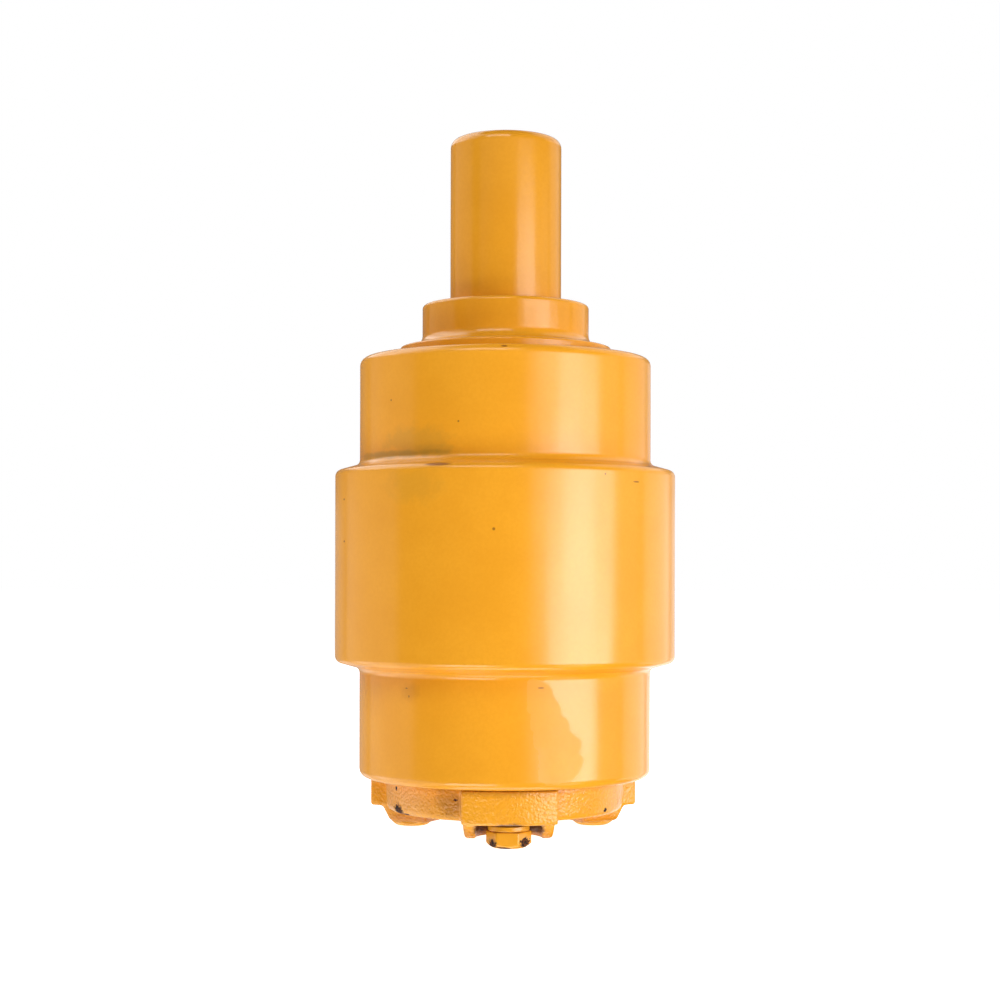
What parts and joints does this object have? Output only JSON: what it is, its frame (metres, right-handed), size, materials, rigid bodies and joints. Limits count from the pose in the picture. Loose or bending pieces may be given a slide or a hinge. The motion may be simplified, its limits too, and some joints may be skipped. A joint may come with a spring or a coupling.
{
  "type": "track roller",
  "caption": "Cantilevered carrier roller for a crawler track: a central-flanged shell turns on a shaft clamped at one end, with a bolted three-lobed cover.",
  "frame": {"origin": "on the shaft axis, in the plane of the three cover bolt heads that the roller stands on", "axes": "+Z along the shaft axis, from the cover towards the free end of the shaft; -Y towards the front lobe of the cover"},
  "size_m": [0.153, 0.153, 0.312],
  "materials": {
    "gloss_enamel": "smooth golden-yellow enamel with a broad satin gloss, a little duller on the clamped shaft end",
    "rough_cast_enamel": "the same enamel over a pebbled sand casting, chipped to dark iron at its edges",
    "fastener_enamel": "the same enamel over bolts and washers, chipped to black steel at the corners of the heads",
    "oiled_black_steel": "black oxide, oiled",
    "machined_steel": "turned steel",
    "bush_bronze": "turned bronze lining",
    "lapped_seal_iron": "lapped hard iron",
    "nitrile_rubber": "matt black",
    "copper": "soft annealed copper"
  },
  "bodies": {
    "shaft": {"shaft": "gloss_enamel", "seal_collar": "gloss_enamel", "collar_lock_pin": "gloss_enamel", "collar_o_ring": "nitrile_rubber", "fixed_seal_ring": "lapped_seal_iron", "fixed_seal_toric": "nitrile_rubber", "retainer_plate": "machined_steel", "retainer_bolt_1": "oiled_black_steel", "retainer_bolt_2": "oiled_black_steel", "retainer_bolt_3": "oiled_black_steel", "retainer_washer_1": "oiled_black_steel", "retainer_washer_2": "oiled_black_steel", "retainer_washer_3": "oiled_black_steel"},
    "roller": {"roller_shell": "gloss_enamel", "upper_bush": "bush_bronze", "lower_bush": "bush_bronze", "turning_seal_ring": "lapped_seal_iron", "turning_seal_toric": "nitrile_rubber", "cover": "rough_cast_enamel", "cover_o_ring": "nitrile_rubber", "cover_bolt_1": "fastener_enamel", "cover_bolt_2": "fastener_enamel", "cover_bolt_3": "fastener_enamel", "cover_washer_1": "fastener_enamel", "cover_washer_2": "fastener_enamel", "cover_washer_3": "fastener_enamel", "oil_plug": "rough_cast_enamel", "plug_gasket": "copper"}
  },
  "joints": [
    {"name": "roller_spin", "type": "hinge", "parent": "shaft", "child": "roller", "pos_m": [0, 0, 0.1195], "axis": [0, 0, 1], "continuous": true}
  ]
}
